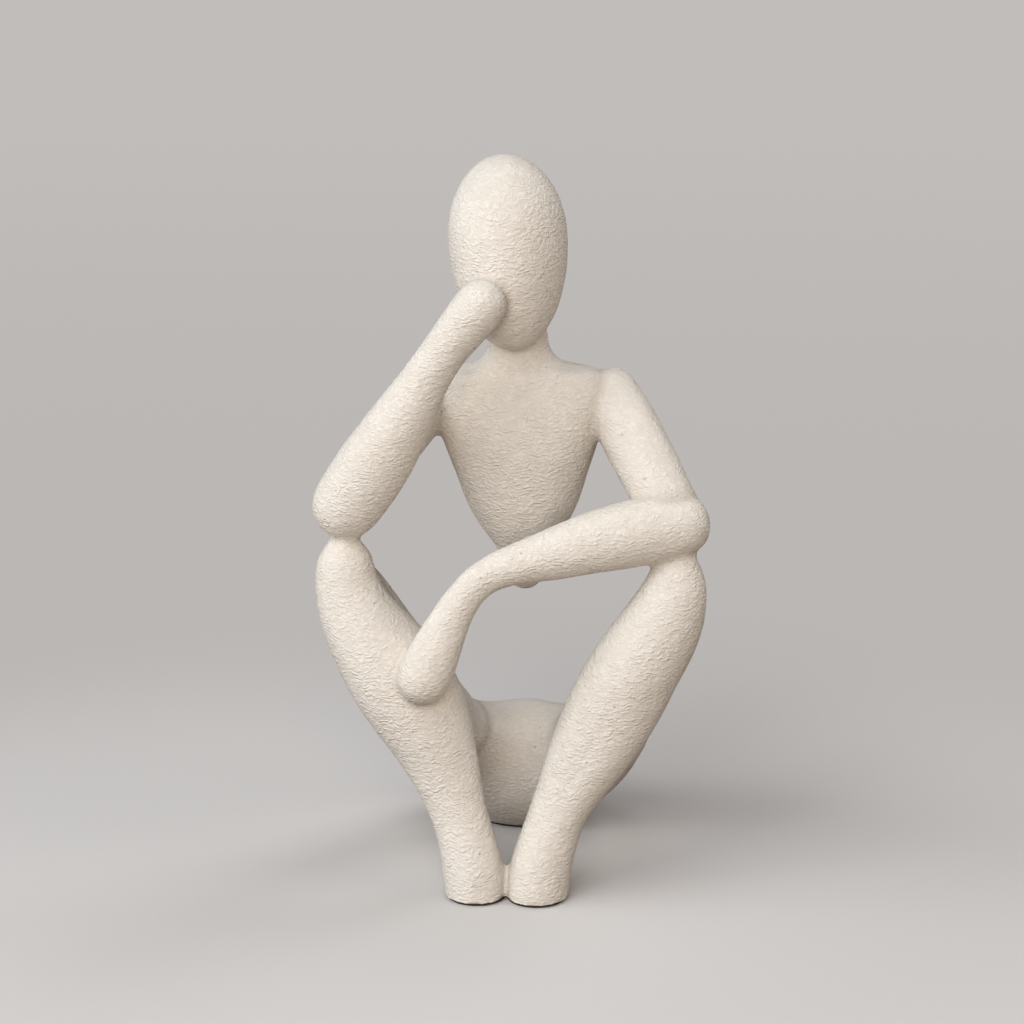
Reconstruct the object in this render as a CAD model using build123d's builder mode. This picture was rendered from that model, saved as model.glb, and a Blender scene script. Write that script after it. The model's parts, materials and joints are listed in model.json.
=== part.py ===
# Seated thinker figure, cast in eleven members that are pinned with dowels and bonded.
# It faces -Y, its right side is -X, and the origin is on the ground at the middle of its box.
from build123d import *
from math import ceil, cos, pi, radians, sin, sqrt
import os

os.makedirs("parts", exist_ok=True)

# Overall box
overall_height = 250
overall_width = 134.6
overall_depth = 118

# Legs: spreads run from leg to leg, setbacks from the front of the box
foot_width = 22.2
foot_length = 24
foot_spread = 20.4
ankle_width = 19.4
ankle_spread = 33
ankle_height = 27
ankle_setback = 16
right_calf_width = 34.2
left_calf_width = 29
right_calf_reach = 34.5
left_calf_reach = 35.9
calf_height = 68.5
calf_setback = 23
knee_width = 21.4
knee_spread = 111.6
knee_height = 107
knee_setback = 26

# Perches: the narrow tops of the shins that carry the elbows
perch_gap = 0.8
perch_shift = 0.9
right_perch_width = 10.8
left_perch_width = 13
right_elbow_rise = 25.8
left_elbow_rise = 21.2

# Seat and thighs
seat_height = 50
seat_depth = 45
seat_middle_height = 19
haunch_height = 39
haunch_depth = 40
haunch_spread = 38
haunch_middle_height = 25
hip_width = 29.4
hip_spread = 67
hip_middle_height = 49.5
thigh_width = 25.6
thigh_spread = 99
thigh_middle_height = 86
thigh_end_width = 19.5

# Head: an egg with a blunt crown and a longer chin
head_width = 40
head_depth = 46
head_crown = 28
head_chin = 37.6
head_shift = 2.2
head_setback = 42
head_roll = 3.9
head_nod = 6

# Torso, from the neck down to its free tip
neck_width = 21.4
neck_height = 184
neck_setback = 52
neck_shift = 0.5
collar_width = 27
collar_height = 178.6
shoulder_width = 54
shoulder_depth = 24
shoulder_height = 174.2
chest_width = 59
chest_depth = 33
chest_height = 161
rib_width = 47.2
rib_depth = 33
rib_height = 141
waist_width = 33.6
waist_depth = 27
waist_height = 123
point_width = 14.4
point_height = 104.5
tip_height = 96.5
tip_setback = 60
tip_shift = 2.4

# Arms
arm_width = 19.6
right_arm_middle_width = 18.6
left_arm_middle_width = 21
right_arm_end_width = 17
left_arm_end_width = 20
arm_height = 166
arm_overhang = 1.8
arm_setback = 56
right_elbow_width = 23.4
left_elbow_width = 21.8
elbow_setback = 27
right_swell_width = 23.8
right_wrist_width = 15.2
right_hand_width = 16.6
right_hand_stand_off = 4.8
left_swell_width = 20.6
left_taper_width = 16
left_wrist_width = 11.6
left_palm_width = 14.8
left_hand_width = 17.6
left_hand_stand_off = 4.5
left_hand_bearing = 54.5
left_forearm_arch = 2.1
left_palm_bow = 1.9
right_wrist_bow = 1.7
left_wrist_shift = 9.1
left_wrist_setback = 14
left_wrist_drop = 17.6

# Dowels, pads and fits
dowel_width = 4
hip_dowel_width = 6
dowel_length = 24
dowel_setback = 5
dowel_chamfer = 0.5
dowel_clearance = 0.1
pad_thickness = 1
pad_inset = 1.2
overrun = 10
slice_step = 7
dome_angles = (20, 40, 60, 78)
oval_points = 12
tip_flat = 1

# Shares of the way forward from the middle of the seat to the knees
haunch_advance_share = 0.0576
hip_advance_share = 0.4029
thigh_advance_share = 0.7338

# Shares that place a station between its neighbours, and how fast a hold fades
brow_share = 0.75
brow_width_share = 0.74
perch_flare_share = 1.2
nape_back_share = 0.12
nape_down_share = 0.45
right_swell_share = 0.27
right_wrist_share = 0.8
left_swell_share = 0.43
left_taper_share = 0.7
left_palm_share = 0.53
right_hand_across_share = 0.4
right_hand_down_share = 0.545
left_hand_climb_share = 0.26
hip_cut_share = 0.45
arm_middle_share = 0.62
hold_fade = 4

front = -overall_depth / 2
back = overall_depth / 2
depthwise = Vector(0, 1, 0)
sidewise = Vector(1, 0, 0)
upward = Vector(0, 0, 1)


# Point on the way from one point to another
def between(start, finish, share):
    return start + (finish - start) * share


# Ellipse square to a heading, with its first half size along the guide direction
def oval_at(place, heading, guide, half_along, half_across):
    aim = guide - heading * guide.dot(heading)
    turns = [2 * pi * number / oval_points for number in range(oval_points)]
    with BuildSketch(Plane(origin=place, x_dir=aim, z_dir=heading)) as oval:
        with BuildLine():
            Spline(*[(half_along * cos(turn), half_across * sin(turn)) for turn in turns], periodic=True)
        make_face()
    return oval.sketch


# Stations that round off an end as a half ellipsoid, as far as a small flat at its tip
def dome(end, heading, reach):
    place, along, across = end
    aim = heading.normalized() * reach
    rings = []
    for angle in dome_angles:
        shrink = cos(radians(angle))
        rings.append((place + aim * sin(radians(angle)), along * shrink, across * shrink))
    return rings + [(place + aim, tip_flat, tip_flat)]


# Solid lofted through stations of (place, size along the guide, size across it).
# One curve leads the middle of its slices and another their half sizes, and the slices are
# evenly spaced over the surface. A hold is a direction that the slices about half way lean to,
# so that they stay apart inside a tight bend.
def member(stations, guide, hold=None):
    places = [place for place, along, across in stations]
    distance = 0
    sizes = []
    for index, (place, along, across) in enumerate(stations):
        distance += (place - places[max(index - 1, 0)]).length
        sizes.append((distance, along / 2, across / 2))
    with BuildLine():
        middle = Spline(*places)
    with BuildLine():
        size_line = Spline(*sizes)
    count = ceil(size_line.length / slice_step)
    slices = []
    for number in range(count + 1):
        size = size_line @ (number / count)
        share = min(size.X / distance, 1)
        heading = middle % share
        if hold:
            heading = heading + hold * (1 - abs(2 * share - 1)) ** hold_fade
        slices.append(oval_at(middle @ share, heading.normalized(), guide, size.Y, size.Z))
    with BuildPart() as solid:
        loft(sections=slices)
    return solid.part


# Straight round rod between two points
def rod(start, finish, width):
    with BuildPart() as solid:
        with BuildSketch(Plane(origin=start, z_dir=finish - start)):
            Circle(width / 2)
        extrude(amount=(finish - start).length)
    return solid.part


# Hole for a dowel, with its clearance all round
def dowel_hole(ends, width):
    start, finish = ends
    slack = (finish - start).normalized() * dowel_clearance
    return rod(start - slack, finish + slack, width + 2 * dowel_clearance)


# Places that both sides share
seat = Vector(0, back - seat_depth / 2, seat_middle_height)
head_place = Vector(-head_shift, front + head_setback, overall_height - head_crown)
head_up = Vector(-sin(radians(head_roll)), sin(radians(head_nod)), 1)
head_plane = Plane(origin=head_place, x_dir=sidewise - head_up * sidewise.dot(head_up), z_dir=head_up)
nape = head_plane.from_local_coords((0, head_depth * nape_back_share, -head_chin * nape_down_share))
neck = Vector(neck_shift, front + neck_setback, neck_height)
tip = Vector(tip_shift, front + tip_setback, tip_height)


# Point of the torso's axis at a height
def torso_place(height):
    return between(neck, tip, (neck_height - height) / (neck_height - tip_height))


# Places of each side: right is -1, left is +1
signs = {"right": -1, "left": 1}
elbow_widths = {"right": right_elbow_width, "left": left_elbow_width}
calf_reaches = {"right": right_calf_reach, "left": left_calf_reach}
calf_widths = {"right": right_calf_width, "left": left_calf_width}
arm_middle_widths = {"right": right_arm_middle_width, "left": left_arm_middle_width}
arm_end_widths = {"right": right_arm_end_width, "left": left_arm_end_width}
elbow_rises = {"right": right_elbow_rise, "left": left_elbow_rise}
perch_widths = {"right": right_perch_width, "left": left_perch_width}
feet, ankles, calves, knees, elbows, perches, shoulders = {}, {}, {}, {}, {}, {}, {}
haunches, hips, thighs = {}, {}, {}
for side, sign in signs.items():
    feet[side] = Vector(sign * foot_spread / 2, front + foot_length / 2, 0)
    ankles[side] = Vector(sign * ankle_spread / 2, front + ankle_setback, ankle_height)
    calves[side] = Vector(sign * calf_reaches[side], front + calf_setback, calf_height)
    knees[side] = Vector(sign * knee_spread / 2, front + knee_setback, knee_height)
    elbow_reach = overall_width / 2 - elbow_widths[side] / 2
    elbows[side] = Vector(sign * elbow_reach, front + elbow_setback, knee_height + elbow_rises[side])
    perch_drop = elbow_widths[side] / 2 + perch_gap
    perches[side] = between(elbows[side], knees[side], perch_drop / elbow_rises[side])
    perches[side] += sidewise * (sign * perch_shift)
    shoulder_reach = chest_width / 2 + arm_overhang
    shoulders[side] = torso_place(arm_height) + sidewise * (sign * shoulder_reach)
    shoulders[side].Y = front + arm_setback
    haunch_advance = (seat.Y - knees[side].Y) * haunch_advance_share
    hip_advance = (seat.Y - knees[side].Y) * hip_advance_share
    thigh_advance = (seat.Y - knees[side].Y) * thigh_advance_share
    haunches[side] = Vector(sign * haunch_spread / 2, seat.Y - haunch_advance, haunch_middle_height)
    hips[side] = Vector(sign * hip_spread / 2, seat.Y - hip_advance, hip_middle_height)
    thighs[side] = Vector(sign * thigh_spread / 2, seat.Y - thigh_advance, thigh_middle_height)

# Right hand: on the cheek, clear of the egg's surface by its stand-off
cheek_share = sqrt(1 - right_hand_across_share**2 - right_hand_down_share**2)
right_hand = head_plane.from_local_coords(
    (
        -head_width / 2 * right_hand_across_share,
        -head_depth / 2 * cheek_share - right_hand_stand_off,
        -head_chin * right_hand_down_share,
    )
)

# Left hand: on the inner front of the right shin
left_hand_reach = right_calf_width / 2 + left_hand_stand_off
left_hand = between(calves["right"], knees["right"], left_hand_climb_share)
left_hand += sidewise * (left_hand_reach * cos(radians(left_hand_bearing)))
left_hand -= depthwise * (left_hand_reach * sin(radians(left_hand_bearing)))
left_wrist = Vector(-left_wrist_shift, front + left_wrist_setback, elbows["left"].Z - left_wrist_drop)
left_arch = upward * left_forearm_arch
left_bow = sidewise * left_palm_bow
right_bow = sidewise * right_wrist_bow

# Dowels: the two ends of each one
dowels = {"neck": (torso_place(shoulder_height), nape)}
for side, sign in signs.items():
    inward = sidewise * (-sign * dowel_length)
    dowels[f"{side}_shoulder"] = (shoulders[side], shoulders[side] + inward)
    arm_aim = (shoulders[side] - elbows[side]).normalized()
    elbow_start = elbows[side] + arm_aim * dowel_setback
    dowels[f"{side}_elbow"] = (elbow_start, elbow_start + arm_aim * dowel_length)
    perch_aim = (elbows[side] - knees[side]).normalized() * dowel_setback
    dowels[f"{side}_perch"] = (knees[side] + perch_aim, elbows[side] - perch_aim)
    thigh_aim = (thighs[side] - knees[side]).normalized()
    knee_start = knees[side] + thigh_aim * dowel_setback
    dowels[f"{side}_knee"] = (knee_start, knee_start + thigh_aim * dowel_length)
    hip_cut = between(haunches[side], hips[side], hip_cut_share)
    hip_aim = (hips[side] - haunches[side]).normalized() * (dowel_length / 2)
    dowels[f"{side}_hip"] = (hip_cut - hip_aim, hip_cut + hip_aim)
dowel_widths = {name: hip_dowel_width if name.endswith("hip") else dowel_width for name in dowels}
holes = {name: dowel_hole(ends, dowel_widths[name]) for name, ends in dowels.items()}

# Uncut members, before they are coped to each other
shin_blanks, arm_blanks = {}, {}
for side in signs:
    sole = feet[side] - upward * overrun
    brow = between(knees[side], perches[side], brow_share)
    brow_width = knee_width * brow_width_share
    perch_width = perch_widths[side]
    flare_width = perch_width * perch_flare_share
    shin_blanks[side] = member(
        [
            (sole, foot_length, foot_width),
            (feet[side], foot_length, foot_width),
            (ankles[side], ankle_width, ankle_width),
            (calves[side], calf_widths[side], calf_widths[side]),
            (knees[side], knee_width, knee_width),
            (brow, brow_width, brow_width),
            (perches[side], perch_width, perch_width),
            (elbows[side], flare_width, flare_width),
        ],
        depthwise,
    )
    shoulder_end = (shoulders[side], arm_width, arm_width)
    arm_aim = elbows[side] - shoulders[side]
    middle_width = arm_middle_widths[side]
    end_width = arm_end_widths[side]
    arm_blanks[side] = member(
        dome(shoulder_end, -arm_aim, arm_width / 2)[::-1]
        + [
            shoulder_end,
            (shoulders[side] + arm_aim * arm_middle_share, middle_width, middle_width),
            (elbows[side], end_width, end_width),
        ],
        depthwise,
    )

forearm_stations = {
    "right": [
        (elbows["right"], right_elbow_width),
        (between(elbows["right"], right_hand, right_swell_share), right_swell_width),
        (between(elbows["right"], right_hand, right_wrist_share) - right_bow, right_wrist_width),
        (right_hand, right_hand_width),
    ],
    "left": [
        (elbows["left"], left_elbow_width),
        (between(elbows["left"], left_wrist, left_swell_share) + left_arch, left_swell_width),
        (between(elbows["left"], left_wrist, left_taper_share) + left_arch, left_taper_width),
        (left_wrist, left_wrist_width),
        (between(left_wrist, left_hand, left_palm_share) - left_bow, left_palm_width),
        (left_hand, left_hand_width),
    ],
}
forearm_blanks = {}
for side in signs:
    stations = [(place, width, width) for place, width in forearm_stations[side]]
    elbow_aim = stations[0][0] - stations[1][0]
    hand_aim = stations[-1][0] - stations[-2][0]
    elbow_dome = dome(stations[0], elbow_aim, stations[0][1] / 2)
    hand_dome = dome(stations[-1], hand_aim, stations[-1][1] / 2)
    forearm_blanks[side] = member(elbow_dome[::-1] + stations + hand_dome, depthwise)

point_end = (torso_place(point_height), point_width, point_width)
torso_blank = member(
    [
        (nape, neck_width, neck_width),
        (neck, neck_width, neck_width),
        (torso_place(collar_height), collar_width, neck_width),
        (torso_place(shoulder_height), shoulder_width, shoulder_depth),
        (torso_place(chest_height), chest_width, chest_depth),
        (torso_place(rib_height), rib_width, rib_depth),
        (torso_place(waist_height), waist_width, waist_depth),
        point_end,
    ]
    + dome(point_end, tip - neck, point_height - tip_height),
    sidewise,
)

# Lap: both thighs and the seat as one bent tube from knee to knee, its left half mirrored from its right
half_laps = {}
for side in signs:
    half_laps[side] = [
        (knees[side], thigh_end_width, thigh_end_width),
        (thighs[side], thigh_width, thigh_width),
        (hips[side], hip_width, hip_width),
        (haunches[side], haunch_height, haunch_depth),
    ]
lap_stations = half_laps["right"] + [(seat, seat_height, seat_depth)] + half_laps["left"][::-1]
with BuildPart() as lap:
    add(member(lap_stations, upward, sidewise))
    split(bisect_by=Plane.YZ, keep=Keep.BOTTOM)
    mirror(about=Plane.YZ)

ground = Plane.XY.offset(pad_thickness)
hip_planes = {}
for side in signs:
    hip_planes[side] = Plane(
        origin=between(haunches[side], hips[side], hip_cut_share),
        z_dir=hips[side] - haunches[side],
    )

# Head: half an egg's outline turned round, then deepened
with BuildPart() as egg:
    with BuildSketch(Plane.XZ):
        with BuildLine():
            chin_line = EllipticalCenterArc((0, 0), head_width / 2, head_chin, start_angle=-90)
            crown_line = EllipticalCenterArc((0, 0), head_width / 2, head_crown, start_angle=0)
            Line(crown_line @ 1, chin_line @ 0)
        make_face()
    revolve(axis=Axis.Z)
    scale(by=(1, head_depth / head_width, 1))
head_blank = head_plane.location * egg.part

with BuildPart() as head:
    add(head_blank)
    add(holes["neck"], mode=Mode.SUBTRACT)
head.part.label = "head"
export_step(head.part, "parts/head.step")

# Torso: the neck is coped to the head
with BuildPart() as torso:
    add(torso_blank)
    add(head_blank, mode=Mode.SUBTRACT)
    for name in ("neck", "right_shoulder", "left_shoulder"):
        add(holes[name], mode=Mode.SUBTRACT)
torso.part.label = "torso"
export_step(torso.part, "parts/torso.step")

# Pelvis: the middle of the lap, cut flat for the ground and square at the hips
with BuildPart() as pelvis:
    add(lap.part)
    split(bisect_by=ground, keep=Keep.TOP)
    for side in signs:
        split(bisect_by=hip_planes[side], keep=Keep.BOTTOM)
        add(holes[f"{side}_hip"], mode=Mode.SUBTRACT)
pelvis.part.label = "pelvis"
export_step(pelvis.part, "parts/pelvis.step")

outer = {"right": Keep.BOTTOM, "left": Keep.TOP}
carriers = {"right": head_blank, "left": shin_blanks["right"]}
for side, sign in signs.items():
    # Forearm: the hand is coped to what it rests on
    with BuildPart() as forearm:
        add(forearm_blanks[side])
        add(carriers[side], mode=Mode.SUBTRACT)
        for name in (f"{side}_elbow", f"{side}_perch"):
            add(holes[name], mode=Mode.SUBTRACT)
    forearm.part.label = f"{side}_forearm"
    export_step(forearm.part, f"parts/{side}_forearm.step")

    # Upper arm: coped to the torso and to the forearm
    with BuildPart() as upper_arm:
        add(arm_blanks[side])
        add(torso_blank, mode=Mode.SUBTRACT)
        add(forearm_blanks[side], mode=Mode.SUBTRACT)
        for name in (f"{side}_shoulder", f"{side}_elbow"):
            add(holes[name], mode=Mode.SUBTRACT)
    upper_arm.part.label = f"{side}_upper_arm"
    export_step(upper_arm.part, f"parts/{side}_upper_arm.step")

    # Shin with its foot: flat below and on the inner side, its perch coped to the elbow
    with BuildPart() as shin:
        add(shin_blanks[side])
        split(bisect_by=ground, keep=Keep.TOP)
        split(bisect_by=Plane.YZ, keep=outer[side])
        add(forearm_blanks[side], mode=Mode.SUBTRACT)
        for name in (f"{side}_perch", f"{side}_knee"):
            add(holes[name], mode=Mode.SUBTRACT)
    shin.part.label = f"{side}_shin"
    export_step(shin.part, f"parts/{side}_shin.step")

    # Thigh: one end of the lap, coped to the shin
    with BuildPart() as thigh:
        add(lap.part)
        split(bisect_by=Plane.YZ, keep=outer[side])
        split(bisect_by=hip_planes[side], keep=Keep.TOP)
        add(shin_blanks[side], mode=Mode.SUBTRACT)
        for name in (f"{side}_knee", f"{side}_hip"):
            add(holes[name], mode=Mode.SUBTRACT)
    thigh.part.label = f"{side}_thigh"
    export_step(thigh.part, f"parts/{side}_thigh.step")

    # Foot pad: the outline of the sole, set in all round
    with BuildPart() as foot_pad:
        with BuildSketch() as sole_outline:
            with Locations(feet[side]):
                Ellipse(foot_width / 2 - pad_inset, foot_length / 2 - pad_inset)
        extrude(amount=pad_thickness)
    foot_pad.part.label = f"{side}_foot_pad"
    export_step(foot_pad.part, f"parts/{side}_foot_pad.step")

# Seat pad: the outline of the pelvis on the ground, drawn in so that its front and back are inset
seat_face = pelvis.faces().filter_by(Axis.Z).sort_by(Axis.Z)[0]
seat_middle = seat_face.center(CenterOf.BOUNDING_BOX)
seat_length = seat_face.bounding_box().size.Y
with BuildPart() as seat_pad:
    with BuildSketch(Plane(origin=seat_middle - upward * pad_thickness)):
        add(seat_face.moved(Location(-seat_middle)))
        scale(by=1 - 2 * pad_inset / seat_length)
    extrude(amount=pad_thickness)
seat_pad.part.label = "seat_pad"
export_step(seat_pad.part, "parts/seat_pad.step")

# Dowels: plain steel rods with chamfered ends
for name, (start, finish) in dowels.items():
    with BuildPart() as dowel:
        add(rod(start, finish, dowel_widths[name]))
        chamfer(dowel.faces().filter_by(GeomType.PLANE).edges(), dowel_chamfer)
    dowel.part.label = f"{name}_dowel"
    export_step(dowel.part, f"parts/{name}_dowel.step")
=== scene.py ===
import bpy
import json
import math
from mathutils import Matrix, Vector
from mathutils.bvhtree import BVHTree

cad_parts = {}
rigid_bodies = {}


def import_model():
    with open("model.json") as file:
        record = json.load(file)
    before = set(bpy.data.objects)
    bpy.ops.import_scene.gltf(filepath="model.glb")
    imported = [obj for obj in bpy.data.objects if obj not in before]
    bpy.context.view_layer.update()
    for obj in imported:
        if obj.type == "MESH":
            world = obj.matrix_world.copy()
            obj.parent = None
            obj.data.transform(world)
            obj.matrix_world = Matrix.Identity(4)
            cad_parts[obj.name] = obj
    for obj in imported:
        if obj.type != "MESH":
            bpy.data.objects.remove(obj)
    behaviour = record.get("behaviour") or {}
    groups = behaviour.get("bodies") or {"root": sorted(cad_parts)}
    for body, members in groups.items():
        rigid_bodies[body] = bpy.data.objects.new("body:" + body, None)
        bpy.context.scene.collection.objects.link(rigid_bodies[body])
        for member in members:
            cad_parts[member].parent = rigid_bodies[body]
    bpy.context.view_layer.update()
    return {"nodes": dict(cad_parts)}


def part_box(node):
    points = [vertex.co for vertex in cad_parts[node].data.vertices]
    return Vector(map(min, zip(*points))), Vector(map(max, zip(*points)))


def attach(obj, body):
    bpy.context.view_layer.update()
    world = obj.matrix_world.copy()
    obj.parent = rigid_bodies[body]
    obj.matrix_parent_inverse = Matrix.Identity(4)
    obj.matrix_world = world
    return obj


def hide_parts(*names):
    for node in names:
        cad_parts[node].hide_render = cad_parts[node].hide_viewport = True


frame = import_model()
nodes = frame["nodes"]
bpy.context.scene.view_settings.view_transform = "Standard"
print("frame loaded:", len(nodes), "nodes")


# A shader socket that takes part in Python sums, and adds nodes to its own tree
class Wire:
    def __init__(self, tree, socket):
        self.tree = tree
        self.socket = socket

    def add(self, kind, settings, values, out=0):
        node = self.tree.nodes.new("ShaderNode" + kind)
        for name, setting in settings.items():
            setattr(node, name, setting)
        for name, value in values.items():
            if isinstance(value, Wire):
                self.tree.links.new(value.socket, node.inputs[name])
            else:
                node.inputs[name].default_value = value
        return Wire(self.tree, node.outputs[out])

    def math(self, operation, *values):
        return self.add("Math", {"operation": operation}, dict(enumerate(values)))

    def __add__(self, other):
        return self.math("ADD", self, other)

    def __radd__(self, other):
        return self.math("ADD", other, self)

    def __sub__(self, other):
        return self.math("SUBTRACT", self, other)

    def __rsub__(self, other):
        return self.math("SUBTRACT", other, self)

    def __mul__(self, other):
        return self.math("MULTIPLY", self, other)

    def __rmul__(self, other):
        return self.math("MULTIPLY", other, self)

    def step(self, low, high):
        ends = {"Value": self, "From Min": low, "From Max": high}
        return self.add("MapRange", {"interpolation_type": "SMOOTHSTEP"}, ends)

    def vector(self, operation, *values):
        return self.add("VectorMath", {"operation": operation}, dict(enumerate(values)))

    def tint(self, first, second):
        mixed = {"Factor": self, 6: first, 7: second}
        return self.add("Mix", {"data_type": "RGBA"}, mixed, 2)


def newMaterial(name):
    material = bpy.data.materials.new(name)
    material.use_nodes = True
    tree = material.node_tree
    tree.nodes.clear()
    output = tree.nodes.new("ShaderNodeOutputMaterial")
    coords = tree.nodes.new("ShaderNodeTexCoord")
    return material, Wire(tree, coords.outputs["Object"]), output.inputs["Surface"]


def pick(*objects):
    bpy.ops.object.select_all(action="DESELECT")
    for item in objects:
        item.select_set(True)
    bpy.context.view_layer.objects.active = objects[0]


def applyModifier(piece, kind, **settings):
    pick(piece)
    modifier = piece.modifiers.new(kind.lower(), kind)
    for name, setting in settings.items():
        setattr(modifier, name, setting)
    bpy.ops.object.modifier_apply(modifier=modifier.name)


# A node's mesh as a piece of its own, with the loose triangles merged
def copyNode(nodeName, pieceName):
    mesh = nodes[nodeName].data.copy()
    mesh.materials.clear()
    piece = bpy.data.objects.new(pieceName, mesh)
    bpy.context.scene.collection.objects.link(piece)
    pick(piece)
    bpy.ops.object.mode_set(mode="EDIT")
    bpy.ops.mesh.select_all(action="SELECT")
    bpy.ops.mesh.remove_doubles(threshold=0.00001)
    bpy.ops.object.mode_set(mode="OBJECT")
    return piece


def finishPiece(piece, material, slotName, *replaced):
    piece.data.materials.clear()
    piece.data.materials.append(material)
    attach(piece, "root")
    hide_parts(*replaced)


# Camera: fitted to the photograph, which is taken as 1024 pixels square
cameraFit = {
    "target": (-0.0013, -0.011, 0.12633),
    "distance": 1.0,
    "azimuth": 5,
    "elevation": 13.5,
    "focalPixels": 2906,
    "imagePixels": 1024,
    "sensor": 36,
    "farClip": 50,
}


# Way from the figure to a camera or lamp; azimuth runs from the front towards its left
def wayTo(azimuth, elevation):
    turn, lift = math.radians(azimuth), math.radians(elevation)
    return Vector((math.sin(turn) * math.cos(lift), -math.cos(turn) * math.cos(lift), math.sin(lift)))


def addCamera(fit):
    away = wayTo(fit["azimuth"], fit["elevation"])
    bpy.ops.object.camera_add(location=Vector(fit["target"]) + away * fit["distance"])
    camera = bpy.context.object
    camera.rotation_euler = (-away).to_track_quat("-Z", "Y").to_euler()
    camera.data.sensor_fit = "HORIZONTAL"
    camera.data.sensor_width = fit["sensor"]
    camera.data.lens = fit["sensor"] * fit["focalPixels"] / fit["imagePixels"]
    camera.data.clip_end = fit["farClip"]
    bpy.context.scene.camera = camera
    print("camera placed, lens", round(camera.data.lens, 2))


addCamera(cameraFit)

# Figure: the cast members under one coat, which fills the creases where they meet
figure = {
    "members": (
        "head", "torso", "pelvis",
        "right_upper_arm", "right_forearm", "right_thigh", "right_shin",
        "left_upper_arm", "left_forearm", "left_thigh", "left_shin",
    ),
    "swell": 0.0005,
    "voxel": 0.0007,
    "rimHeight": 0.003,
    "waveScale": 0.007,
    "waveDepth": 0.0003,
    "capDepth": 0.004,
    "ownerReach": 0.009,
    "smoothing": 0.5,
    "shadeReach": 0.0035,
    "grooveDepth": 0.0014,
    "grooveWidth": 0.0009,
    "grooveHeight": 0.018,
    "calfMiddle": 0.05,
    "calfReach": 0.027,
    "calfBulge": 0.0045,
}
# How far the coat rounds a crease, and in how many passes; a broad one only fills its hollow side
creases = {
    "broad": {"reach": 0.013, "passes": 300},
    "wide": {"reach": 0.006, "passes": 80},
    "soft": {"reach": 0.004, "passes": 26},
    "crisp": {"reach": 0.0016, "passes": 2},
}
# Creases that aren't soft, by the pair of members that meet there
pairCreases = {
    frozenset(("left_shin", "left_thigh")): "broad",
    frozenset(("right_shin", "right_thigh")): "broad",
    frozenset(("pelvis", "right_thigh")): "broad",
    frozenset(("pelvis", "left_thigh")): "broad",
    frozenset(("torso", "right_upper_arm")): "wide",
    frozenset(("right_upper_arm", "right_forearm")): "wide",
    frozenset(("head", "torso")): "crisp",
    frozenset(("head", "right_forearm")): "crisp",
    frozenset(("right_shin", "left_forearm")): "crisp",
    frozenset(("left_upper_arm", "left_forearm")): "crisp",
}


def memberTrees():
    trees = {}
    for name in figure["members"]:
        mesh = nodes[name].data
        points = [vertex.co for vertex in mesh.vertices]
        sides = [polygon.vertices for polygon in mesh.polygons]
        low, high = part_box(name)
        trees[name] = (BVHTree.FromPolygons(points, sides), low, high)
    return trees


# Members near a point, with their distances, nearest first
def membersNear(trees, point, reach):
    found = []
    for name, (tree, low, high) in trees.items():
        if all(low[axis] - reach < point[axis] < high[axis] + reach for axis in range(3)):
            place, _, _, distance = tree.find_nearest(point, reach)
            if distance is not None:
                found.append((distance, name, place))
    return sorted(found, key=lambda member: member[:2])


# The left calf is fuller on its outer side, and hides the thigh behind it
def fillCalf(piece):
    group = piece.vertex_groups.new(name="calf")
    for vertex in piece.data.vertices:
        away = (vertex.co.z - figure["calfMiddle"]) / figure["calfReach"]
        weight = max(0, 1 - away * away) ** 2 * max(0, vertex.normal.x)
        if weight > 0:
            group.add([vertex.index], weight, "REPLACE")
    applyModifier(piece, "DISPLACE", strength=figure["calfBulge"], mid_level=0, vertex_group="calf")
    piece.vertex_groups.clear()


# The joined members as one skin, without the shells of the dowel holes
def fuseMembers():
    copies = [copyNode(name, "cast_" + name) for name in figure["members"]]
    fillCalf(copies[figure["members"].index("left_shin")])
    for piece in copies:
        applyModifier(piece, "DISPLACE", strength=figure["swell"], mid_level=0)
    pick(*copies)
    bpy.ops.object.join()
    body = bpy.context.object
    applyModifier(body, "REMESH", mode="VOXEL", voxel_size=figure["voxel"], use_smooth_shade=True)
    known = set(bpy.data.objects)
    bpy.ops.object.mode_set(mode="EDIT")
    bpy.ops.mesh.separate(type="LOOSE")
    bpy.ops.object.mode_set(mode="OBJECT")
    shells = sorted(set(bpy.data.objects) - known | {body}, key=lambda shell: len(shell.data.vertices))
    for shell in shells[:-1]:
        bpy.data.objects.remove(shell)
    print("figure fused:", len(shells[-1].data.polygons), "faces,", len(shells) - 1, "inner shells removed")
    return shells[-1]


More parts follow.
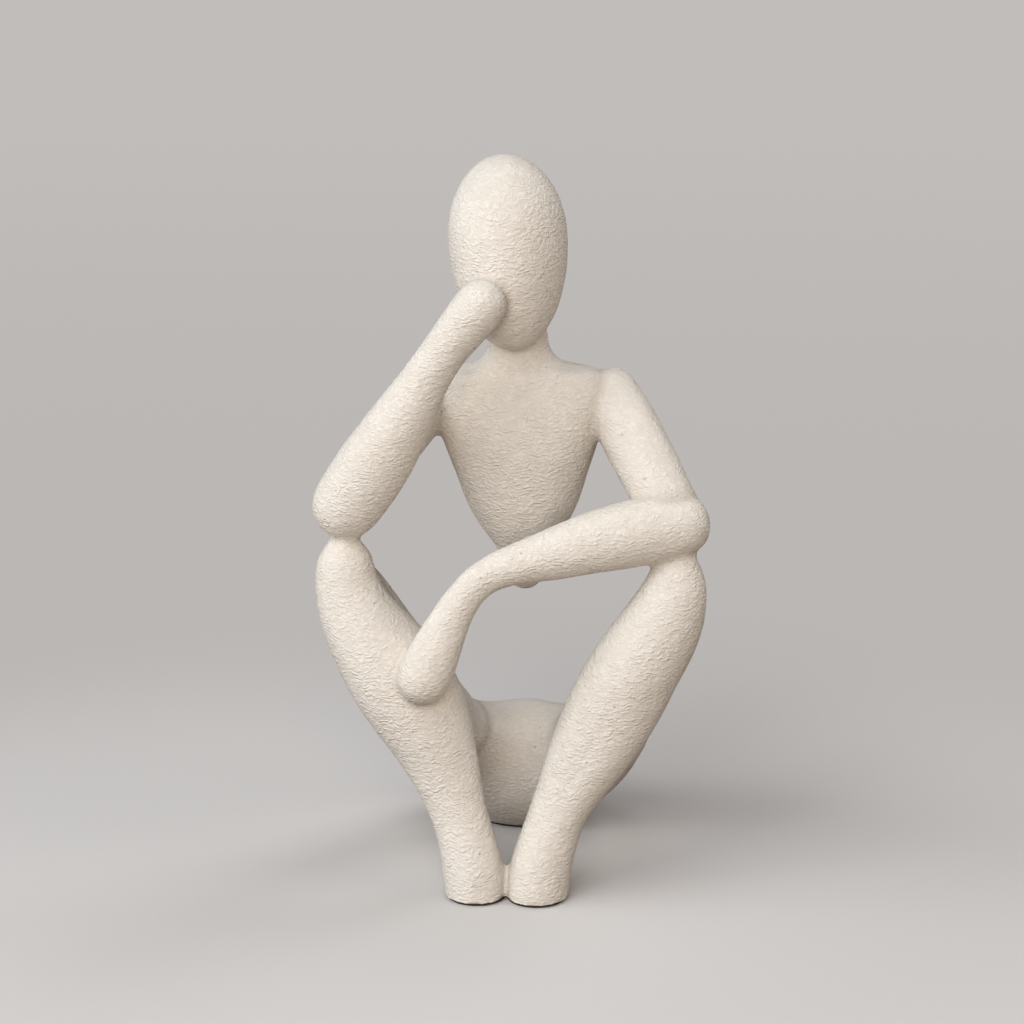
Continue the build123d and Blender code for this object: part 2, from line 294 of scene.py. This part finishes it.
def softenCreases(body, trees):
    groups = {name: body.vertex_groups.new(name=name) for name in creases}
    shades = [0.0] * len(body.data.vertices)
    swell = figure["swell"]
    for vertex in body.data.vertices:
        weights = {}
        near = membersNear(trees, vertex.co, creases["broad"]["reach"] + swell)
        for distance, name, place in near[1:]:
            kind = pairCreases.get(frozenset((near[0][1], name)), "soft")
            weight = 1 - (distance - swell) / creases[kind]["reach"]
            if kind == "broad":
                rise = (place - vertex.co).dot(vertex.normal)
                weight *= max(0, min(2 + rise / (1.5 * swell), 1))
            weights[kind] = max(weights.get(kind, 0), min(weight, 1))
            # Painted shade: the nearer a second member, the darker the coat there; kept as the crease attribute
            depth = 1 - (distance - swell) / figure["shadeReach"]
            shades[vertex.index] = max(shades[vertex.index], min(depth, 1))
        weights["crisp"] = max(weights.get("crisp", 0), 1 - vertex.co.z / figure["rimHeight"])
        for kind, weight in weights.items():
            if weight > 0:
                groups[kind].add([vertex.index], weight, "REPLACE")
    body.data.attributes.new("crease", "FLOAT", "POINT").data.foreach_set("value", shades)
    for name, crease in creases.items():
        applyModifier(body, "SMOOTH", factor=figure["smoothing"], iterations=crease["passes"], vertex_group=name)
    body.vertex_groups.clear()
    applyModifier(body, "DISPLACE", strength=-swell, mid_level=0)
    print("creases softened")


# The groove between the feet, where they meet at the front
def cutGroove(body):
    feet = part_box("right_shin")[1]
    middle = (feet[0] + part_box("left_shin")[0][0]) / 2
    for vertex in body.data.vertices:
        share = 1 - vertex.co.z / figure["grooveHeight"]
        aside = (vertex.co.x - middle) / figure["grooveWidth"]
        if share > 0 and abs(aside) < 3 and vertex.normal.y < 0 and vertex.co.y < feet[1]:
            vertex.co.y += figure["grooveDepth"] * min(3 * share, 1) * math.exp(-aside * aside)
    body.data.update()
    print("groove cut at", round(middle, 4))


# Close the cuts of a piece, and keep the shading of the whole skin up to them
def closeCuts(piece):
    pick(piece)
    bpy.ops.object.mode_set(mode="EDIT")
    bpy.ops.mesh.select_all(action="SELECT")
    bpy.ops.mesh.fill_holes(sides=0)
    bpy.ops.mesh.select_all(action="DESELECT")
    bpy.ops.object.mode_set(mode="OBJECT")
    mesh = piece.data
    for polygon in mesh.polygons:
        polygon.select = len(polygon.vertices) > 4
        polygon.use_smooth = not polygon.select
    bpy.ops.object.mode_set(mode="EDIT")
    bpy.ops.mesh.poke(offset=-figure["capDepth"])
    bpy.ops.object.mode_set(mode="OBJECT")
    skin = mesh.attributes["skin"]
    normals = []
    for polygon in mesh.polygons:
        for corner in polygon.vertices:
            normals.append(skin.data[corner].vector if polygon.use_smooth else polygon.normal)
    normals = [tuple(normal) for normal in normals]
    mesh.attributes.remove(skin)
    mesh.normals_split_custom_set(normals)


def makeFigure(material):
    body = fuseMembers()
    trees = memberTrees()
    softenCreases(body, trees)
    cutGroove(body)
    wave = bpy.data.textures.new("coatWave", "CLOUDS")
    wave.noise_scale = figure["waveScale"]
    applyModifier(body, "DISPLACE", texture=wave, texture_coords="LOCAL", strength=figure["waveDepth"])
    names = figure["members"]
    owners = []
    for polygon in body.data.polygons:
        near = membersNear(trees, polygon.center, figure["ownerReach"])
        owners.append(names.index(near[0][1]))
    body.data.attributes.new("owner", "INT", "FACE").data.foreach_set("value", owners)
    skin = body.data.attributes.new("skin", "FLOAT_VECTOR", "POINT")
    for vertex in body.data.vertices:
        skin.data[vertex.index].vector = vertex.normal
    for index, name in enumerate(names):
        owner = body.data.attributes["owner"]
        for polygon in body.data.polygons:
            polygon.select = owner.data[polygon.index].value == index
        known = set(bpy.data.objects)
        piece = body
        if index < len(names) - 1:
            pick(body)
            bpy.ops.object.mode_set(mode="EDIT")
            bpy.ops.mesh.separate(type="SELECTED")
            bpy.ops.object.mode_set(mode="OBJECT")
            piece = (set(bpy.data.objects) - known).pop()
        piece.name = "coated_" + name
        piece.data.name = piece.name
        piece.data.attributes.remove(piece.data.attributes["owner"])
        closeCuts(piece)
        finishPiece(piece, material, "sandstone_coat", name)
        print(piece.name, len(piece.data.polygons), "faces")


# Sandstone coat: short ridges that mostly run level, sparse pits and a fine grain, with painted shade in the
# hollows between ridges, in the pits and in the creases where members meet; lengths in millimetres
coat = {
    "light": (0.81, 0.76, 0.71, 1),
    "cloudy": (0.77, 0.72, 0.665, 1),
    # Painted shade colour, for the hollows between ridges, the pits and the creases
    "paintedShade": (0.50, 0.44, 0.375, 1),
    "dashLength": 2.2,
    "dashSpacing": 0.95,
    "driftSize": 6,
    "driftReach": 5,
    "fadeSize": 4,
    "ridgeHeight": 0.3,
    "pitSpacing": 4.5,
    "pitSize": 0.42,
    "pitShare": 0.4,
    "pitDepth": 0.35,
    "pitShade": 0.7,
    "grainSize": 0.55,
    "grainHeight": 0.36,
    "patchSize": 16,
    "hollowShadeShare": 0.2,
    "creaseShadeShare": 0.6,
    "roughness": 0.9,
    "sheen": 0.2,
}


def coatMaterial():
    material, place, surface = newMaterial("sandstoneCoat")
    spot = place.vector("SCALE", place)
    spot.socket.node.inputs["Scale"].default_value = 1000

    def noise(size, detail, out=0):
        return spot.add("TexNoise", {}, {"Vector": spot, "Scale": 1 / size, "Detail": detail}, out)

    drift = noise(coat["driftSize"], 2, "Color")
    drift = drift.vector("SUBTRACT", drift, (0.5, 0.5, 0.5))
    moved = spot.vector("ADD", spot, drift.vector("MULTIPLY", drift, (coat["driftReach"],) * 3))

    def dashes(*size):
        cells = {"Vector": moved.vector("DIVIDE", moved, size), "Scale": 1, "Smoothness": 0.3}
        distance = moved.add("TexVoronoi", {"feature": "SMOOTH_F1"}, cells, "Distance")
        return 1 - distance.step(0.05, 0.75)

    # Faces that look up or down get dashes that run across, the others level ones
    normal = spot.add("NewGeometry", {}, {}, "Normal")
    slope = normal.add("SeparateXYZ", {}, {"Vector": normal}, "Z")
    slope = slope.math("ABSOLUTE", slope).step(0.6, 0.9)
    longWay, shortWay = coat["dashLength"], coat["dashSpacing"]
    level = dashes(longWay, longWay, shortWay)
    flat = dashes(longWay, shortWay, longWay)
    fade = 0.6 + 0.4 * noise(coat["fadeSize"], 1).step(0.35, 0.62)
    ridge = level + (flat - level) * slope

    cell = {"Vector": spot, "Scale": 1 / coat["pitSpacing"]}
    pitDistance = spot.add("TexVoronoi", {}, cell, "Distance")
    pitColour = spot.add("TexVoronoi", {}, cell, "Color")
    pitChance = pitColour.add("SeparateColor", {}, {"Color": pitColour}, "Red")
    chosen = pitChance.math("LESS_THAN", pitChance, coat["pitShare"])
    pit = (1 - (pitDistance * coat["pitSpacing"]).step(coat["pitSize"] * 0.3, coat["pitSize"])) * chosen

    grain = noise(coat["grainSize"], 2)
    height = ridge * fade * coat["ridgeHeight"] - pit * coat["pitDepth"] + grain * coat["grainHeight"]
    bump = height.add("Bump", {}, {"Height": height * 0.001, "Distance": 1, "Strength": 1})

    patch = noise(coat["patchSize"], 3)
    colour = patch.step(0.35, 0.7).tint(coat["light"], coat["cloudy"])
    # Painted shade: the hollows between the ridges and grains are darkened
    paintedHollowShade = (1 - (ridge * 0.5 + grain * 0.5).step(0.25, 0.6)) * coat["hollowShadeShare"]
    colour = paintedHollowShade.tint(colour, coat["paintedShade"])
    # Painted shade in the creases where members meet, read from the crease attribute
    crease = spot.add("Attribute", {"attribute_name": "crease"}, {}, "Fac")
    colour = (crease * crease * coat["creaseShadeShare"]).tint(colour, coat["paintedShade"])
    colour = (pit * coat["pitShade"]).tint(colour, coat["paintedShade"])
    roughness = coat["roughness"] + (grain - 0.5) * 0.1
    shader = bump.add(
        "BsdfPrincipled",
        {},
        {"Base Color": colour, "Roughness": roughness, "Normal": bump, "Specular IOR Level": coat["sheen"]},
    )
    material.node_tree.links.new(shader.socket, surface)
    return material


makeFigure(coatMaterial())

# Felt pads under the feet and the seat
pads = {
    "nodes": ("right_foot_pad", "left_foot_pad", "seat_pad"),
    "edge": 0.0002,
    "dark": (0.035, 0.031, 0.027, 1),
    "pale": (0.095, 0.086, 0.075, 1),
    "fibre": 0.0006,
}


def feltMaterial():
    material, place, surface = newMaterial("padFelt")
    fibre = place.add("TexNoise", {}, {"Vector": place, "Scale": 1 / pads["fibre"], "Detail": 4, "Distortion": 2})
    colour = fibre.step(0.3, 0.7).tint(pads["dark"], pads["pale"])
    bump = fibre.add("Bump", {}, {"Height": fibre, "Distance": 0.0003, "Strength": 0.8})
    values = {"Base Color": colour, "Roughness": 1, "Normal": bump, "Specular IOR Level": 0.1}
    shader = bump.add("BsdfPrincipled", {}, values)
    material.node_tree.links.new(shader.socket, surface)
    return material


def makePads(material):
    for name in pads["nodes"]:
        piece = copyNode(name, "felt_" + name)
        applyModifier(piece, "BEVEL", width=pads["edge"], segments=2, limit_method="ANGLE")
        pick(piece)
        bpy.ops.object.shade_smooth_by_angle()
        finishPiece(piece, material, "felt", name)
    print("pads made:", len(pads["nodes"]))


makePads(feltMaterial())

# Dowels keep their own solids, sealed inside the figure
steel = {"bright": (0.63, 0.63, 0.64, 1), "dull": (0.47, 0.47, 0.48, 1), "streak": 0.0008}


def steelMaterial():
    material, place, surface = newMaterial("drawnSteel")
    streak = place.add("TexNoise", {}, {"Vector": place, "Scale": 1 / steel["streak"], "Detail": 3})
    colour = streak.step(0.3, 0.7).tint(steel["dull"], steel["bright"])
    values = {"Base Color": colour, "Metallic": 1.0, "Roughness": 0.28 + streak * 0.2}
    shader = streak.add("BsdfPrincipled", {}, values)
    material.node_tree.links.new(shader.socket, surface)
    return material


def dressDowels(material):
    names = [name for name in nodes if name.endswith("_dowel")]
    for name in names:
        nodes[name].data.materials.clear()
        nodes[name].data.materials.append(material)
    print("dowels dressed:", len(names))


dressDowels(steelMaterial())

# Studio: one wide paper floor that is lit near the figure and further out glows with a painted fall-off of light,
# and soft boxes
studio = {
    "floorSize": 14,
    "near": (0.66, 0.64, 0.635, 1),
    "middle": (0.495, 0.472, 0.46, 1),
    "far": (0.53, 0.507, 0.495, 1),
    "bounce": (0.2, 0.17, 0.14, 1),
    "nearDepths": (-0.12, 0.2),
    "farDepths": (0.3, 2.5),
    "glowReach": (0.15, 0.36),
    "worldColour": (1.0, 0.95, 0.9, 1),
    "worldStrength": 0.01,
    "lampDistance": 1.7,
    "lampSize": 0.9,
    "lamps": {
        "key": {"azimuth": -38, "elevation": 50, "power": 9.6, "colour": (1.0, 0.985, 0.93)},
        "left": {"azimuth": -75, "elevation": 15, "power": 12.4, "colour": (0.945, 0.98, 1.0)},
        "front": {"azimuth": 0, "elevation": 15, "power": 14.0, "colour": (1.0, 0.88, 0.74)},
        "frontHigh": {"azimuth": -15, "elevation": 30, "power": 8.6, "colour": (0.78, 0.88, 1.0)},
        "right": {"azimuth": 75, "elevation": 15, "power": 5.0, "colour": (1.0, 0.91, 0.81)},
        "back": {"azimuth": 130, "elevation": 45, "power": 7.4, "colour": (1.0, 0.98, 0.98)},
        "top": {"azimuth": 0, "elevation": 88, "power": 3.6, "colour": (0.9, 0.96, 1.0)},
    },
}


def makeFloor():
    bpy.ops.object.select_all(action="DESELECT")
    bpy.ops.mesh.primitive_plane_add(size=studio["floorSize"])
    floor = bpy.context.object
    floor.name = "studioFloor"
    material, place, surface = newMaterial("studioPaper")
    depth = place.add("SeparateXYZ", {}, {"Vector": place}, "Y")
    # Painted light fall-off: the glowing paper is lighter in front and darker further back
    colour = depth.step(*studio["nearDepths"]).tint(studio["near"], studio["middle"])
    colour = depth.step(*studio["farDepths"]).tint(colour, studio["far"])
    glow = depth.add("Emission", {}, {"Color": colour, "Strength": 1.0})
    camera = depth.add("LightPath", {}, {}, "Is Camera Ray")
    glossy = depth.add("LightPath", {}, {}, "Is Glossy Ray")
    through = depth.add("LightPath", {}, {}, "Is Transmission Ray")
    seen = camera.math("MAXIMUM", camera, glossy.math("MAXIMUM", glossy, through))
    lit = depth.add("BsdfDiffuse", {}, {"Color": seen.tint(studio["bounce"], studio["near"])})
    distance = place.add("VectorMath", {"operation": "LENGTH"}, {0: place}, "Value")
    mixed = depth.add("MixShader", {}, {0: distance.step(*studio["glowReach"]) * seen, 1: lit, 2: glow})
    material.node_tree.links.new(mixed.socket, surface)
    floor.data.materials.append(material)


def lightStudio():
    world = bpy.data.worlds.new("studioWorld")
    world.use_nodes = True
    sky = world.node_tree.nodes["Background"]
    sky.inputs["Color"].default_value = studio["worldColour"]
    sky.inputs["Strength"].default_value = studio["worldStrength"]
    bpy.context.scene.world = world
    for name, lamp in studio["lamps"].items():
        away = wayTo(lamp["azimuth"], lamp["elevation"])
        bpy.ops.object.light_add(type="AREA", location=Vector(cameraFit["target"]) + away * studio["lampDistance"])
        light = bpy.context.object
        light.name = name + "Lamp"
        light.data.energy = lamp["power"]
        light.data.size = studio["lampSize"]
        light.data.color = lamp["colour"]
        light.rotation_euler = (-away).to_track_quat("-Z", "Y").to_euler()
    print("studio lit by", len(studio["lamps"]), "lamps")


makeFloor()
lightStudio()
